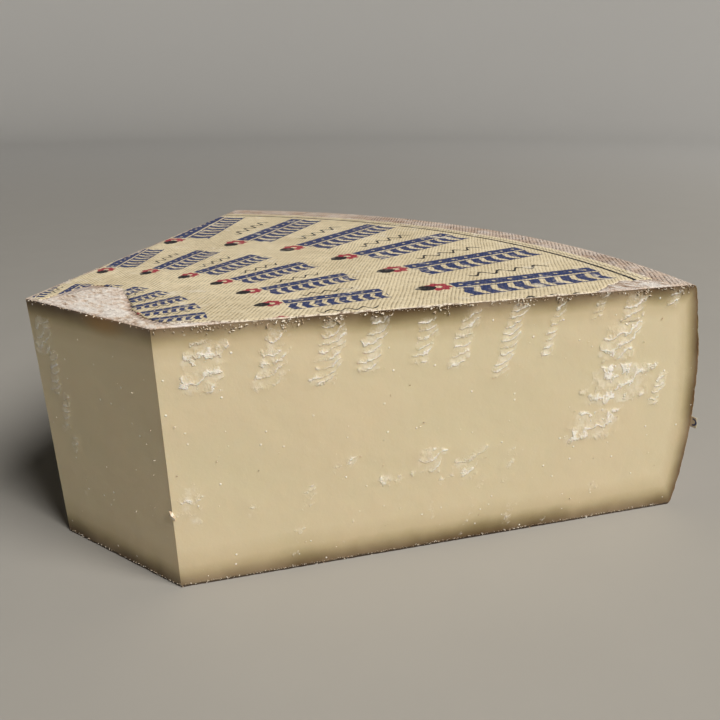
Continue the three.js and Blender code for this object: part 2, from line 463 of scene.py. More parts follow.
RAMP_END = 20.0
CRYSTAL_PITCH = 5.8
paste, tree, surface = new_look("cheese_paste")
where = put(tree, "TexCoord").outputs["Object"]
depth = put(tree, "Attribute", attribute_name="rind_depth").outputs["Fac"]
torn = put(tree, "Attribute", attribute_name="torn").outputs["Fac"]
turns = put(tree, "Attribute", attribute_name="scale_turns").outputs["Fac"]
cloud = grain(tree, where, 0.045, 3)
fine = grain(tree, where, 0.005, 4, 0.6)
speck = grain(tree, where, 0.0012, 3, 0.6)
uneven = calc(tree, "MULTIPLY_ADD", cloud, 5.0, -2.5)
uneven = calc(tree, "MULTIPLY_ADD", calc(tree, "SUBTRACT", fine, 0.5), 1.2, uneven)
uneven = calc(tree, "MULTIPLY", uneven, span(tree, depth, 0.0, 6.0, 0.1, 1.0))
ramp = put(tree, "ValToRGB", {"Fac": calc(tree, "DIVIDE", calc(tree, "ADD", depth, uneven), RAMP_END)})
stops = ramp.color_ramp
for share, shade in ((0.0, (66, 42, 22)), (0.04, (88, 66, 38)), (0.11, (106, 88, 57)),
                     (0.2, (135, 119, 84)), (0.3, (167, 151, 114)), (0.44, (195, 179, 143)),
                     (0.75, (208, 194, 160))):
    stops.elements.new(share).color = tint(*shade)
stops.elements.remove(stops.elements[0])
stops.elements.remove(stops.elements[-1])
colour = blend(tree, span(tree, cloud, 0.38, 0.66, 0.0, 0.3), ramp.outputs["Color"], tint(214, 192, 160))
# A painted amber glow below the nose's upper edge, as of light shining through the thin paste there.
PAINTED_GLOW_AT = (*(meeting(BACK, NOSE, WHEEL_HEIGHT) + NOSE.along * 50 * MM + AXIS), WHEEL_HEIGHT - 2.5 * MM)
glow_distance = put(tree, "VectorMath", {0: where, 1: PAINTED_GLOW_AT}, operation="SUBTRACT").outputs[0]
glow_distance = put(tree, "VectorMath", {0: glow_distance, 1: (1, 1, 2.4)}, operation="MULTIPLY").outputs[0]
glow_distance = put(tree, "VectorMath", {0: glow_distance}, operation="LENGTH").outputs["Value"]
colour = blend(tree, span(tree, glow_distance, 0.002, 0.017, 0.55, 0.0), colour, tint(168, 124, 58))

# A scale's lower edge is torn: it stands up, then drops, and is white where it has dried.
jagged = calc(tree, "SUBTRACT", grain(tree, where, 0.0028, 2), 0.5)
frayed = calc(tree, "SUBTRACT", grain(tree, where, 0.0009, 2, 0.7), 0.5)
turns = calc(tree, "MULTIPLY_ADD", jagged, 1.0, turns)
share = calc(tree, "FRACT", calc(tree, "MULTIPLY_ADD", frayed, 0.36, turns))
patchy = grain(tree, where, 0.006, 4, 0.7)
torn = calc(tree, "ADD", torn, calc(tree, "MULTIPLY_ADD", patchy, 1.7, -0.85))
torn = span(tree, torn, 0.3, 0.72)
stands = calc(tree, "MULTIPLY", calc(tree, "POWER", share, 2.0), span(tree, share, 0.86, 1.0, 1.0, 0.0))
lip = calc(tree, "MULTIPLY", span(tree, share, 0.56, 0.87), span(tree, share, 0.92, 1.0, 1.0, 0.0))
dry = calc(tree, "MULTIPLY", calc(tree, "MULTIPLY", lip, torn), span(tree, fine, 0.32, 0.56, 0.35, 1.0))
dry = calc(tree, "MAXIMUM", dry, calc(tree, "MULTIPLY", torn, span(tree, patchy, 0.42, 0.66, 0.04, 0.3)))
colour = blend(tree, calc(tree, "MULTIPLY", dry, 0.9), colour, tint(241, 236, 226))
# Painted shadow along the foot: the paste turns near-black within about a millimetre of the floor, with a
# ragged edge.
foot = put(tree, "SeparateXYZ", {"Vector": where}).outputs["Z"]
foot = calc(tree, "MULTIPLY_ADD", calc(tree, "SUBTRACT", patchy, 0.5), 0.0016, foot)
colour = blend(tree, span(tree, foot, 0.0005, 0.0013, 0.85, 0.0), colour, tint(40, 27, 16))
cells = put(tree, "TexVoronoi", {"Vector": where, "Scale": 1000 / CRYSTAL_PITCH, "Randomness": 1.0})
near = calc(tree, "MULTIPLY", cells.outputs["Distance"], CRYSTAL_PITCH)
chosen = span(tree, grain(tree, where, 0.012, 2), 0.4, 0.56)
crystal = calc(tree, "MULTIPLY", span(tree, near, 0.3, 0.62, 1.0, 0.0), chosen)
colour = blend(tree, calc(tree, "MULTIPLY", crystal, 0.85), colour, tint(242, 237, 226))
gloss = calc(tree, "MULTIPLY_ADD", fine, 0.14, 0.38)
gloss = calc(tree, "ADD", gloss, calc(tree, "MULTIPLY", dry, 0.3))
normal = raised(tree, (cloud, 0.0012), (fine, 0.0001), (speck, 0.00004),
                (calc(tree, "MULTIPLY", stands, torn), 0.00045), (crystal, 0.0002))
connect(tree, surface, Base_Color=colour, Roughness=gloss, Normal=normal)
surface.inputs["Subsurface Weight"].default_value = 0.2
surface.inputs["Subsurface Radius"].default_value = (1.0, 0.6, 0.3)
surface.inputs["Subsurface Scale"].default_value = 0.005
surface.inputs["Specular IOR Level"].default_value = 0.4

# The weave of the pressing cloth, which shows on the rind and through the paper: rows of small
# uneven knots, as a height, as painted shade in the hollows between them and as the holes at their corners.
weave = bpy.data.node_groups.new("cloth_weave", "ShaderNodeTree")
for name, kind in (("Vector", "NodeSocketVector"), ("Pitch", "NodeSocketFloat")):
    weave.interface.new_socket(name, in_out="INPUT", socket_type=kind)
for name in ("Height", "Painted Shade", "Hole"):
    weave.interface.new_socket(name, in_out="OUTPUT", socket_type="NodeSocketFloat")
given = weave.nodes.new("NodeGroupInput")
bent = put(weave, "TexNoise", {"Vector": given.outputs["Vector"], "Scale": 22.0, "Detail": 2.0})
shift = put(weave, "VectorMath", {0: bent.outputs["Color"], 1: (0.5, 0.5, 0.5)}, operation="SUBTRACT")
shift = put(weave, "VectorMath", {0: shift.outputs[0], 1: (0.004, 0.004, 0)}, operation="MULTIPLY")
moved = put(weave, "VectorMath", {0: given.outputs["Vector"], 1: shift.outputs[0]}, operation="ADD")
turned = put(weave, "VectorRotate", {"Vector": moved.outputs[0], "Angle": -0.61}, rotation_type="Z_AXIS")
parts = put(weave, "SeparateXYZ", {"Vector": turned.outputs[0]})
waves = []
knot = put(weave, "CombineXYZ")
for axis in ("X", "Y"):
    threads = calc(weave, "DIVIDE", parts.outputs[axis], given.outputs["Pitch"])
    waves.append(calc(weave, "ABSOLUTE", calc(weave, "SINE", calc(weave, "MULTIPLY", threads, math.pi))))
    weave.links.new(calc(weave, "FLOOR", threads), knot.inputs[axis])
chance_of_knot = put(weave, "TexWhiteNoise", {"Vector": knot.outputs[0]}).outputs["Value"]
bulge = calc(weave, "MULTIPLY", waves[0], waves[1])
uneven = grain(weave, given.outputs["Vector"], 0.005, 4, 0.65)
height = calc(weave, "MULTIPLY", bulge, calc(weave, "MULTIPLY_ADD", chance_of_knot, 0.6, 0.4))
height = calc(weave, "MULTIPLY", height, span(weave, uneven, 0.34, 0.62, 0.3, 1.0))
given_back = weave.nodes.new("NodeGroupOutput")
weave.links.new(height, given_back.inputs["Height"])
some = calc(weave, "MULTIPLY_ADD", calc(weave, "SUBTRACT", chance_of_knot, 0.5), 0.3, uneven)
# Painted shade: darker where the knots sink away, stronger in patches.
hollow_shade = span(weave, bulge, 0.08, 0.42, 1.0, 0.0)
hollow_shade = calc(weave, "MULTIPLY", hollow_shade, span(weave, some, 0.34, 0.58, 0.25, 1.0))
weave.links.new(hollow_shade, given_back.inputs["Painted Shade"])
between = [calc(weave, "SUBTRACT", 1.0, wave) for wave in waves]
corner = calc(weave, "MULTIPLY", between[0], between[1])
hole = calc(weave, "MULTIPLY", span(weave, corner, 0.12, 0.4), span(weave, some, 0.38, 0.56, 0.2, 1.0))
weave.links.new(hole, given_back.inputs["Hole"])


def add_weave(tree, where, pitch):
    """The weave placed in a material: its height, the painted shade between its knots and its holes."""
    node = tree.nodes.new("ShaderNodeGroup")
    node.node_tree = weave
    tree.links.new(where, node.inputs["Vector"])
    node.inputs["Pitch"].default_value = pitch
    return node.outputs["Height"], node.outputs["Painted Shade"], node.outputs["Hole"]


rind, tree, surface = new_look("cheese_rind")
where = put(tree, "TexCoord").outputs["Object"]
flat = put(tree, "UVMap", uv_map="cloth").outputs["UV"]
bare = put(tree, "Attribute", attribute_name="bare_rind").outputs["Fac"]
height, weave_shade, _ = add_weave(tree, flat, 1.9 * MM)
blotch = grain(tree, where, 0.03, 4, 0.6)
mealy = grain(tree, where, 0.0018, 4, 0.65)
bloom = grain(tree, where, 0.009, 4, 0.6)
colour = blend(tree, span(tree, blotch, 0.36, 0.64), tint(184, 156, 134), tint(211, 191, 173))
colour = blend(tree, span(tree, bloom, 0.42, 0.72, 0.0, 0.7), colour, tint(218, 208, 200))
worn_top = calc(tree, "MULTIPLY", span(tree, height, 0.3, 0.8), span(tree, mealy, 0.35, 0.6, 0.2, 0.75))
colour = blend(tree, worn_top, colour, tint(232, 223, 214))
# Painted shade in the hollows of the weave on the rind, weaker in patches.
weave_shade = calc(tree, "MULTIPLY", weave_shade, span(tree, mealy, 0.3, 0.6, 0.55, 0.95))
weave_shade = calc(tree, "MULTIPLY", weave_shade, span(tree, blotch, 0.38, 0.62, 1.0, 0.55))
colour = blend(tree, weave_shade, colour, tint(86, 62, 50))
drawn_out = put(tree, "Mapping", {"Vector": where, "Rotation": (0, 0, 0.5), "Scale": (0.35, 1, 1)})
strands = grain(tree, drawn_out.outputs[0], 0.0017, 4, 0.7)
fluff = blend(tree, span(tree, bloom, 0.35, 0.62), tint(214, 188, 163), tint(232, 216, 202))
heel = span(tree, put(tree, "SeparateXYZ", {"Vector": where}).outputs["X"], 0.11, 0.14, 0.0, 0.6)
fluff = blend(tree, heel, fluff, tint(150, 116, 90))
tufts = grain(tree, where, 0.014, 3)
fluff = blend(tree, span(tree, tufts, 0.5, 0.62, 0.0, 0.7), fluff, tint(240, 234, 226))
fluff = blend(tree, span(tree, strands, 0.42, 0.62, 0.0, 0.85), fluff, tint(244, 236, 226))
pits = calc(tree, "MULTIPLY", span(tree, strands, 0.45, 0.33), span(tree, tufts, 0.58, 0.42, 0.35, 1.0))
fluff = blend(tree, calc(tree, "MULTIPLY", pits, 0.85), fluff, tint(122, 88, 62))
colour = blend(tree, bare, colour, fluff)
# Darker towards the foot: the dark lower rind, with painted shade where it meets the floor.
foot = put(tree, "SeparateXYZ", {"Vector": where}).outputs["Z"]
under = span(tree, foot, 0.0, 0.0022, 1.0, 0.0)
dark = blend(tree, span(tree, bloom, 0.35, 0.7), tint(58, 40, 28), tint(96, 70, 50))
colour = blend(tree, calc(tree, "MULTIPLY", under, 0.9), colour, dark)
gloss = calc(tree, "MULTIPLY_ADD", mealy, 0.2, 0.72)
height = calc(tree, "MULTIPLY", height, calc(tree, "SUBTRACT", 1.0, bare))
normal = raised(tree, (blotch, 0.002), (bloom, 0.001), (height, 0.0007), (mealy, 0.0005),
                (calc(tree, "MULTIPLY", strands, bare), 0.0012))
connect(tree, surface, Base_Color=colour, Roughness=gloss, Normal=normal)

cheese_body = finish_mesh("cheese_body", cheese, paste, rind)
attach(cheese_body, "root")
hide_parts("cheese_wedge")

# The label. One sheet of thin matt paper, printed with rings of marks round its own centre and laid on
# the young wheel, so that it dried on to the rind, took its weave and was cut with it.
LABEL_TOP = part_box("printed_label")[1].z
PAPER = 0.3 * MM
LABEL_COLUMNS = 210
LABEL_ROWS = 130
LEAST_GAP = 0.15
APEX = meeting(FRONT, BACK, WHEEL_HEIGHT)
FRONT_BEARING = math.atan2(FRONT.along.y, FRONT.along.x)
BACK_BEARING = math.atan2(-BACK.along.y, -BACK.along.x)
FRONT_START = (meeting(NOSE, FRONT, WHEEL_HEIGHT) - APEX).length
BACK_START = (meeting(BACK, NOSE, WHEEL_HEIGHT) - APEX).length


def label_place(across, outwards):
    """A place on the label: across goes from the front cut to the back one, outwards from the nose
    to the heel."""
    bearing = FRONT_BEARING + (BACK_BEARING - FRONT_BEARING) * across
    ray = Vector((math.cos(bearing), math.sin(bearing)))
    slope = ray.dot(NOSE.out)
    cut_at = (NOSE.top - APEX.dot(NOSE.out)) / slope
    nose_run = (APEX + ray * cut_at - meeting(BACK, NOSE, WHEEL_HEIGHT)).dot(NOSE.along) / MM
    near = cut_at - torn_edge(NOSE_TEAR, nose_run, 3) * MM / slope
    to_centre = APEX - LABEL_CENTRE
    middle = ray.dot(to_centre)
    far = -middle + math.sqrt(middle ** 2 - to_centre.length_squared + LABEL_RADIUS ** 2)
    reach = near + (far - near) * outwards
    front_run, back_run = (reach - FRONT_START) / MM, (reach - BACK_START) / MM
    front_gap = torn_edge(FRONT_TEAR, front_run, 7)
    back_gap = torn_edge(BACK_TEAR, back_run, 11)
    first = FRONT_BEARING + max(LEAST_GAP, front_gap) * MM / reach
    last = BACK_BEARING - max(LEAST_GAP, back_gap) * MM / reach
    bearing = first + (last - first) * across
    return APEX + reach * Vector((math.cos(bearing), math.sin(bearing)))


label = bmesh.new()
inside_layer = label.verts.layers.float.new("from_edge")
bmesh.ops.create_grid(label, x_segments=LABEL_COLUMNS, y_segments=LABEL_ROWS, size=0.5)
for vertex in label.verts:
    place = label_place(vertex.co.x + 0.5, vertex.co.y + 0.5)
    x, y = place.x / MM, place.y / MM
    pucker = 0.07 * rough(x, y, 0, 16) + 0.05 * rough(x, y, 0, 4) + 0.035 * rough(x, y, 0, 2)
    inside = paper_cover(place)
    curl = smooth(3.5, 0, inside) * max(0, rough(x, y, 3, 9)) * 0.7
    sunk = 0.06 + 0.45 * smooth(2.2, 0, inside)
    vertex[inside_layer] = inside
    vertex.co = (*(place + AXIS), LABEL_TOP + (pucker + curl - sunk) * MM)
if sum(face.normal.z for face in label.faces) < 0:
    bmesh.ops.reverse_faces(label, faces=label.faces)
face_down = bmesh.ops.duplicate(label, geom=label.faces[:])
underside = [item for item in face_down["geom"] if isinstance(item, bmesh.types.BMFace)]
rims = [edge for edge in label.edges if edge.is_boundary]
bmesh.ops.translate(label, vec=(0, 0, -PAPER), verts=list({v for face in underside for v in face.verts}))
bmesh.ops.reverse_faces(label, faces=underside)
bmesh.ops.bridge_loops(label, edges=rims)
bmesh.ops.recalc_face_normals(label, faces=label.faces)
for face in label.faces:
    face.smooth = abs(face.normal.z) > 0.5

# One ring of printed marks. Each is a navy band with pale dots, a frieze of navy chevrons beside it, a
# small red flower with a black leaf at its inner end and a thin black wave between it and the next.
RING_INPUTS = ("Radius", "Angle", "Start", "End", "Pitch", "Phase", "Band", "Frieze", "Beat",
               "Wave Angle", "Wave Start", "Wave End", "Flower")
marks = bpy.data.node_groups.new("printed_ring", "ShaderNodeTree")
for name in RING_INPUTS:
    marks.interface.new_socket(name, in_out="INPUT", socket_type="NodeSocketFloat")
for name in ("Navy", "Red", "Black"):
    marks.interface.new_socket(name, in_out="OUTPUT", socket_type="NodeSocketFloat")
given = marks.nodes.new("NodeGroupInput").outputs


def within(tree, value, low_end, high_end):
    """1 where a value is between two ends, with edges a quarter of a millimetre soft."""
    above = calc(tree, "MULTIPLY_ADD", calc(tree, "SUBTRACT", value, low_end), 4.0, 0.5)
    below = calc(tree, "MULTIPLY_ADD", calc(tree, "SUBTRACT", high_end, value), 4.0, 0.5)
    both = calc(tree, "MINIMUM", above, below)
    return put(tree, "Clamp", {"Value": both}).outputs[0]


def across_at(angle):
    """Millimetres across the mark from a line at an angle, in degrees, from the band's middle."""
    turns = calc(marks, "SUBTRACT", calc(marks, "SUBTRACT", given["Angle"], given["Phase"]), angle)
    turns = calc(marks, "ADD", calc(marks, "DIVIDE", turns, given["Pitch"]), 0.5)
    local = calc(marks, "SUBTRACT", calc(marks, "FRACT", turns), 0.5)
    degrees = calc(marks, "MULTIPLY", local, given["Pitch"])
    return calc(marks, "MULTIPLY", calc(marks, "RADIANS", degrees), given["Radius"])


def repeat(value, pitch):
    """Where a value is in its pitch, from 0 to 1."""
    return calc(marks, "FRACT", calc(marks, "DIVIDE", value, pitch))


across = across_at(0.0)
up = calc(marks, "SUBTRACT", given["Radius"], given["Start"])
length = within(marks, given["Radius"], given["Start"], given["End"])
band = within(marks, calc(marks, "ABSOLUTE", across), -1.0, given["Band"])
dot_up = calc(marks, "MULTIPLY", calc(marks, "SUBTRACT", repeat(up, given["Beat"]), 0.5), given["Beat"])
dot = calc(marks, "SQRT", calc(marks, "ADD", calc(marks, "MULTIPLY", dot_up, dot_up),
                               calc(marks, "MULTIPLY", across, across)))
dot = within(marks, dot, -1.0, calc(marks, "MULTIPLY", given["Band"], 0.24))
band = calc(marks, "SUBTRACT", band, dot)
half = calc(marks, "MULTIPLY", given["Frieze"], 0.5)
row_middle = calc(marks, "ADD", calc(marks, "ADD", across, given["Band"]),
                  calc(marks, "MULTIPLY", given["Frieze"], 0.6))
off_row = calc(marks, "ABSOLUTE", row_middle)
chevron = calc(marks, "SUBTRACT", up, calc(marks, "MULTIPLY", off_row, 0.4))
chevron = calc(marks, "MULTIPLY", repeat(chevron, given["Beat"]), given["Beat"])
chevron = within(marks, chevron, 0.0, calc(marks, "MULTIPLY", given["Beat"], 0.62))
rule = within(marks, off_row, calc(marks, "MULTIPLY", half, 0.86), half)
frieze = calc(marks, "MULTIPLY", calc(marks, "MAXIMUM", chevron, rule),
              within(marks, off_row, -1.0, half))
navy = calc(marks, "MULTIPLY", calc(marks, "MAXIMUM", band, frieze), length)
wave_turn = calc(marks, "SINE", calc(marks, "DIVIDE", up, calc(marks, "MULTIPLY", given["Beat"], 0.2)))
wave_turn = calc(marks, "MULTIPLY", wave_turn, calc(marks, "MULTIPLY", given["Band"], 0.62))
wave = calc(marks, "ABSOLUTE", calc(marks, "SUBTRACT", across_at(given["Wave Angle"]), wave_turn))
wave = within(marks, wave, -1.0, calc(marks, "MULTIPLY", given["Band"], 0.24))
wave = calc(marks, "MULTIPLY", wave, within(marks, given["Radius"], given["Wave Start"], given["Wave End"]))
flower_up = calc(marks, "MULTIPLY_ADD", given["Flower"], 1.15, up)
petal = calc(marks, "COSINE", calc(marks, "MULTIPLY", calc(marks, "ARCTAN2", flower_up, across), 7.0))
petal = calc(marks, "MULTIPLY", calc(marks, "MULTIPLY_ADD", petal, 0.12, 0.95), given["Flower"])
from_middle = calc(marks, "SQRT", calc(marks, "ADD", calc(marks, "MULTIPLY", flower_up, flower_up),
                                       calc(marks, "MULTIPLY", across, across)))
red = within(marks, from_middle, calc(marks, "MULTIPLY", given["Flower"], 0.3), petal)
leaf_up = calc(marks, "MULTIPLY_ADD", given["Flower"], 2.15, up)
leaf_up = calc(marks, "DIVIDE", leaf_up, calc(marks, "MULTIPLY", given["Flower"], 0.9))
leaf_width = calc(marks, "SUBTRACT", 1.0, calc(marks, "MULTIPLY", leaf_up, leaf_up))
leaf_width = calc(marks, "MULTIPLY", leaf_width, calc(marks, "MULTIPLY", given["Flower"], 0.68))
leaf = within(marks, calc(marks, "ABSOLUTE", across), -1.0, calc(marks, "SUBTRACT", leaf_width, 0.12))
returned = marks.nodes.new("NodeGroupOutput").inputs
for name, mask in (("Navy", navy), ("Red", red), ("Black", calc(marks, "MAXIMUM", wave, leaf))):
    marks.links.new(mask, returned[name])

# The three rings, from the rim inwards, with values for the group's inputs from Start on: radii and
# widths in millimetres, the pitch and the other angles in degrees. Two circles run outside them.
PRINTED_RINGS = (
    (184, 261, 12.54, 64.6, 3.9, 13.5, 8.5, 3.8, 200, 245, 6.0),
    (108, 152, 12.76, 66.7, 2.5, 9.2, 5.4, 3.5, 118, 143, 4.2),
    (54, 76, 11.0, 65.5, 1.4, 5.6, 3.4, 4.4, 59, 71, 2.1),
)
CIRCLES = ((265.8, 267.9), (270.6, 271.2))
label_paper, tree, surface = new_look("label_paper")
where = put(tree, "TexCoord").outputs["Object"]
centred = put(tree, "Mapping", {"Vector": where, "Scale": (1000, 1000, 0),
                                "Location": (*(-1000 * (AXIS + LABEL_CENTRE)), 0)}).outputs[0]
bleed = put(tree, "TexNoise", {"Vector": where, "Scale": 700.0, "Detail": 2.0}).outputs["Color"]
bleed = put(tree, "VectorMath", {0: bleed, 1: (0.5, 0.5, 0.5)}, operation="SUBTRACT").outputs[0]
bleed = put(tree, "VectorMath", {0: bleed, 1: (1.1, 1.1, 0)}, operation="MULTIPLY").outputs[0]
centred = put(tree, "VectorMath", {0: centred, 1: bleed}, operation="ADD").outputs[0]
parts = put(tree, "SeparateXYZ", {"Vector": centred}).outputs
radius = put(tree, "VectorMath", {0: centred}, operation="LENGTH").outputs["Value"]
angle = calc(tree, "DEGREES", calc(tree, "ARCTAN2", parts["Y"], parts["X"]))
inks = {"Navy": [], "Red": [], "Black": []}
for values in PRINTED_RINGS:
    ring = tree.nodes.new("ShaderNodeGroup")
    ring.node_tree = marks
    tree.links.new(radius, ring.inputs["Radius"])
    tree.links.new(angle, ring.inputs["Angle"])
    for name, value in zip(RING_INPUTS[2:], values):
        ring.inputs[name].default_value = value
    for name, masks in inks.items():
        masks.append(ring.outputs[name])
inks["Black"] += [within(tree, radius, *circle) for circle in CIRCLES]
height, weave_shade, hole = add_weave(tree, where, 1.7 * MM)
fibre = grain(tree, where, 0.0016, 4, 0.65)
stain = grain(tree, where, 0.028, 4, 0.6)
rub = grain(tree, where, 0.011, 4, 0.65)
colour = blend(tree, span(tree, stain, 0.3, 0.7), tint(214, 196, 159), tint(230, 213, 177))
colour = blend(tree, span(tree, fibre, 0.35, 0.7, 0.0, 0.35), colour, tint(248, 238, 212))
# Painted shade in the hollows of the weave that shows through the paper.
colour = blend(tree, calc(tree, "MULTIPLY", weave_shade, 0.24), colour, tint(150, 131, 96))
colour = blend(tree, calc(tree, "MULTIPLY", hole, 0.75), colour, tint(122, 104, 72))
worn = span(tree, rub, 0.6, 0.74, 1.0, 0.25)
printed = calc(tree, "MULTIPLY", worn, span(tree, fibre, 0.3, 0.5, 0.78, 1.0))
frayed = calc(tree, "MULTIPLY_ADD", calc(tree, "SUBTRACT", rub, 0.5), -9.0,
              put(tree, "Attribute", attribute_name="from_edge").outputs["Fac"])
frayed = span(tree, frayed, 0.4, 1.8, 1.0, 0.0)
printed = calc(tree, "MULTIPLY", printed, calc(tree, "MULTIPLY_ADD", frayed, -0.85, 1.0))
for name, ink in (("Navy", tint(42, 55, 100)), ("Red", tint(162, 50, 64)), ("Black", tint(28, 28, 32))):
    mask = inks[name][0]
    for other in inks[name][1:]:
        mask = calc(tree, "MAXIMUM", mask, other)
    colour = blend(tree, calc(tree, "MULTIPLY", mask, printed), colour, ink)
colour = blend(tree, span(tree, rub, 0.58, 0.72, 0.0, 0.6), colour, tint(232, 222, 204))
colour = blend(tree, calc(tree, "MULTIPLY", frayed, 0.8), colour, tint(234, 222, 204))
soiled = calc(tree, "MULTIPLY", frayed, span(tree, fibre, 0.5, 0.4, 0.0, 0.85))
colour = blend(tree, soiled, colour, tint(118, 88, 62))
gloss = calc(tree, "MULTIPLY_ADD", fibre, 0.15, 0.68)
normal = raised(tree, (stain, 0.001), (height, 0.0003), (fibre, 0.00024))
connect(tree, surface, Base_Color=colour, Roughness=gloss, Normal=normal)

paper_label = finish_mesh("paper_label", label, label_paper)
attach(paper_label, "root")
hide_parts("printed_label")

# The scrap. A torn end of the paper that once went round the wheel's rim, lifted away beside the
# front cut, with part of a printed navy curve on it.
scrap_low, scrap_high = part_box("heel_label_scrap")
SCRAP_LENGTH = 15 * MM
SCRAP_LIFT = 3 * MM
SCRAP_GAP = 0.3 * MM
SCRAP_PAPER = 0.25 * MM
CURVE_FROM_END = 2.3 * MM
scrap = bmesh.new()
bmesh.ops.create_grid(scrap, x_segments=24, y_segments=12, size=0.5)
scrap_middle = (scrap_low.z + scrap_high.z) / 2
scrap_edge = rim_bearing(FRONT, scrap_middle, 1)
for vertex in scrap.verts:
    share, up = vertex.co.x + 0.5, vertex.co.y + 0.5
    tatter = 0.05 * rough(30 * share, 3, 0, 2.5)
    z = scrap_low.z + (scrap_high.z - scrap_low.z) * (0.06 + 0.88 * up + tatter * (1 - share))
    end = 0.05 * (1 + rough(9 * up, 8, 0, 2))
    share = end + (1 - end) * share
    bearing = scrap_edge + (1 - share) * SCRAP_LENGTH / BULGE_RADIUS
    reach = BULGE_RADIUS + SCRAP_GAP + (SCRAP_LIFT + 0.3 * MM * math.sin(5 * up)) * share ** 2
    vertex.co = (*(AXIS + reach * Vector((math.cos(bearing), math.sin(bearing)))), z)
bmesh.ops.recalc_face_normals(scrap, faces=scrap.faces)
bmesh.ops.solidify(scrap, geom=scrap.faces, thickness=SCRAP_PAPER)
bmesh.ops.recalc_face_normals(scrap, faces=scrap.faces)
for face in scrap.faces:
    face.smooth = True

scrap_paper, tree, surface = new_look("scrap_paper")
where = put(tree, "TexCoord").outputs["Object"]
fibre = grain(tree, where, 0.0012, 4, 0.65)
stain = grain(tree, where, 0.006, 3)
colour = blend(tree, stain, tint(206, 194, 162), tint(222, 212, 188))
curve_x = scrap_high.x - CURVE_FROM_END
curve = put(tree, "Mapping", {"Vector": where, "Scale": (1000, 0, 1000),
                              "Location": (-1000 * curve_x, 0, -1000 * scrap_middle)}).outputs[0]
towards_end = put(tree, "SeparateXYZ", {"Vector": curve}).outputs["X"]
curve = put(tree, "VectorMath", {0: curve}, operation="LENGTH").outputs["Value"]
stroke = calc(tree, "MULTIPLY", within(tree, curve, 1.2, 2.1), span(tree, towards_end, -0.6, 0.1))
colour = blend(tree, calc(tree, "MULTIPLY", stroke, span(tree, fibre, 0.3, 0.5, 0.5, 0.95)), colour,
               tint(46, 60, 112))
gloss = calc(tree, "MULTIPLY_ADD", fibre, 0.15, 0.68)
connect(tree, surface, Base_Color=colour, Roughness=gloss,
        Normal=raised(tree, (stain, 0.0006), (fibre, 0.0002)))

label_scrap = finish_mesh("label_scrap", scrap, scrap_paper)
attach(label_scrap, "root")
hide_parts("heel_label_scrap")

# The crumbs. Specks of rind and paste that the knife broke off and that stick to the cheese: most lie
# along the upper edges of the cuts and on the torn rind, some along the foot, a few on the cut face.
crumbs = bmesh.new()
chance = random.Random(5)


def crumb(place, z, size, out):
    """One speck, a lumpy pebble turned and squashed at random, half sunk in what it lies on."""
    made = bmesh.ops.create_icosphere(crumbs, subdivisions=1, radius=size / 2)["verts"]
    turn = Matrix.Rotation(chance.uniform(0, 6.28), 4, Vector((chance.random(), 0.3, chance.random())))
    squash = Matrix.Diagonal((chance.uniform(0.8, 1.8), chance.uniform(0.5, 0.9),
                              chance.uniform(0.35, 0.7), 1))
    for vertex in made:
        vertex.co *= chance.uniform(0.55, 1.3)
    where = Vector((*(place + AXIS), z)) + out * size * 0.15
    bmesh.ops.transform(crumbs, matrix=Matrix.Translation(where) @ turn @ squash, verts=made)


def crumbs_along(cut, start, count, length, z, spread, sizes):
    """Crumbs strewn along a cut from a corner, spread either side of a height."""
    side = Vector((*cut.out, 0))
    for _ in range(count):
        run = chance.uniform(0, length)
        level = z + chance.gauss(0, spread)
        place = start + cut.along * run + cut.out * (cut.distance(level) - cut.top)
        crumb(place, min(max(level, 0.3 * MM), WHEEL_HEIGHT + 0.2 * MM), chance.uniform(*sizes) * MM, side)


nose_left = meeting(BACK, NOSE, WHEEL_HEIGHT)
nose_right = meeting(NOSE, FRONT, WHEEL_HEIGHT)
BACK_LENGTH = 240 * MM
heel_left = nose_left - BACK.along * BACK_LENGTH
NOSE_LENGTH = (nose_right - nose_left).length
FRONT_RUN = 232 * MM
BACK_RUN = 238 * MM
HALF_WAY = 60 * MM
CLUMPS_AT = (19, 31, 46, 52, 68, 88, 112, 150, 168, 207, 228)
CLUMP_LENGTH = 8
NUB_RUN = 77.5 * MM
NUB_HEIGHT = 35.5 * MM
NUB_SIZE = 3.8 * MM
RIND_CRUMBS = 110
crumbs_along(FRONT, nose_right, 190, FRONT_RUN, WHEEL_HEIGHT - 0.7 * MM, 0.4 * MM, (0.3, 0.8))
for middle in CLUMPS_AT:
    start = nose_right + FRONT.along * (middle - CLUMP_LENGTH / 2) * MM
    crumbs_along(FRONT, start, 16, CLUMP_LENGTH * MM, WHEEL_HEIGHT - 1.6 * MM, 1.1 * MM, (0.4, 1.2))
crumbs_along(NOSE, nose_left, 50, NOSE_LENGTH, WHEEL_HEIGHT - 0.3 * MM, 0.25 * MM, (0.3, 0.7))
crumbs_along(BACK, heel_left, 120, BACK_RUN, WHEEL_HEIGHT - 0.7 * MM, 0.5 * MM, (0.3, 0.8))
crumbs_along(FRONT, nose_right, 420, FRONT_RUN, 1.3 * MM, 0.3 * MM, (0.2, 0.55))
crumbs_along(NOSE, nose_left, 90, NOSE_LENGTH, 1.2 * MM, 0.25 * MM, (0.25, 0.6))
crumbs_along(BACK, heel_left, 300, BACK_RUN, 1.2 * MM, 0.25 * MM, (0.3, 0.7))
crumbs_along(FRONT, nose_right, 60, 230 * MM, HALF_WAY, 30 * MM, (0.4, 0.9))
crumbs_along(NOSE, nose_left, 16, NOSE_LENGTH, HALF_WAY, 30 * MM, (0.4, 0.8))
nub = nose_left + NOSE.along * NUB_RUN
crumb(nub, NUB_HEIGHT, NUB_SIZE, Vector((*NOSE.out, 0)))
UP = Vector((0, 0, 1))
placed = 0
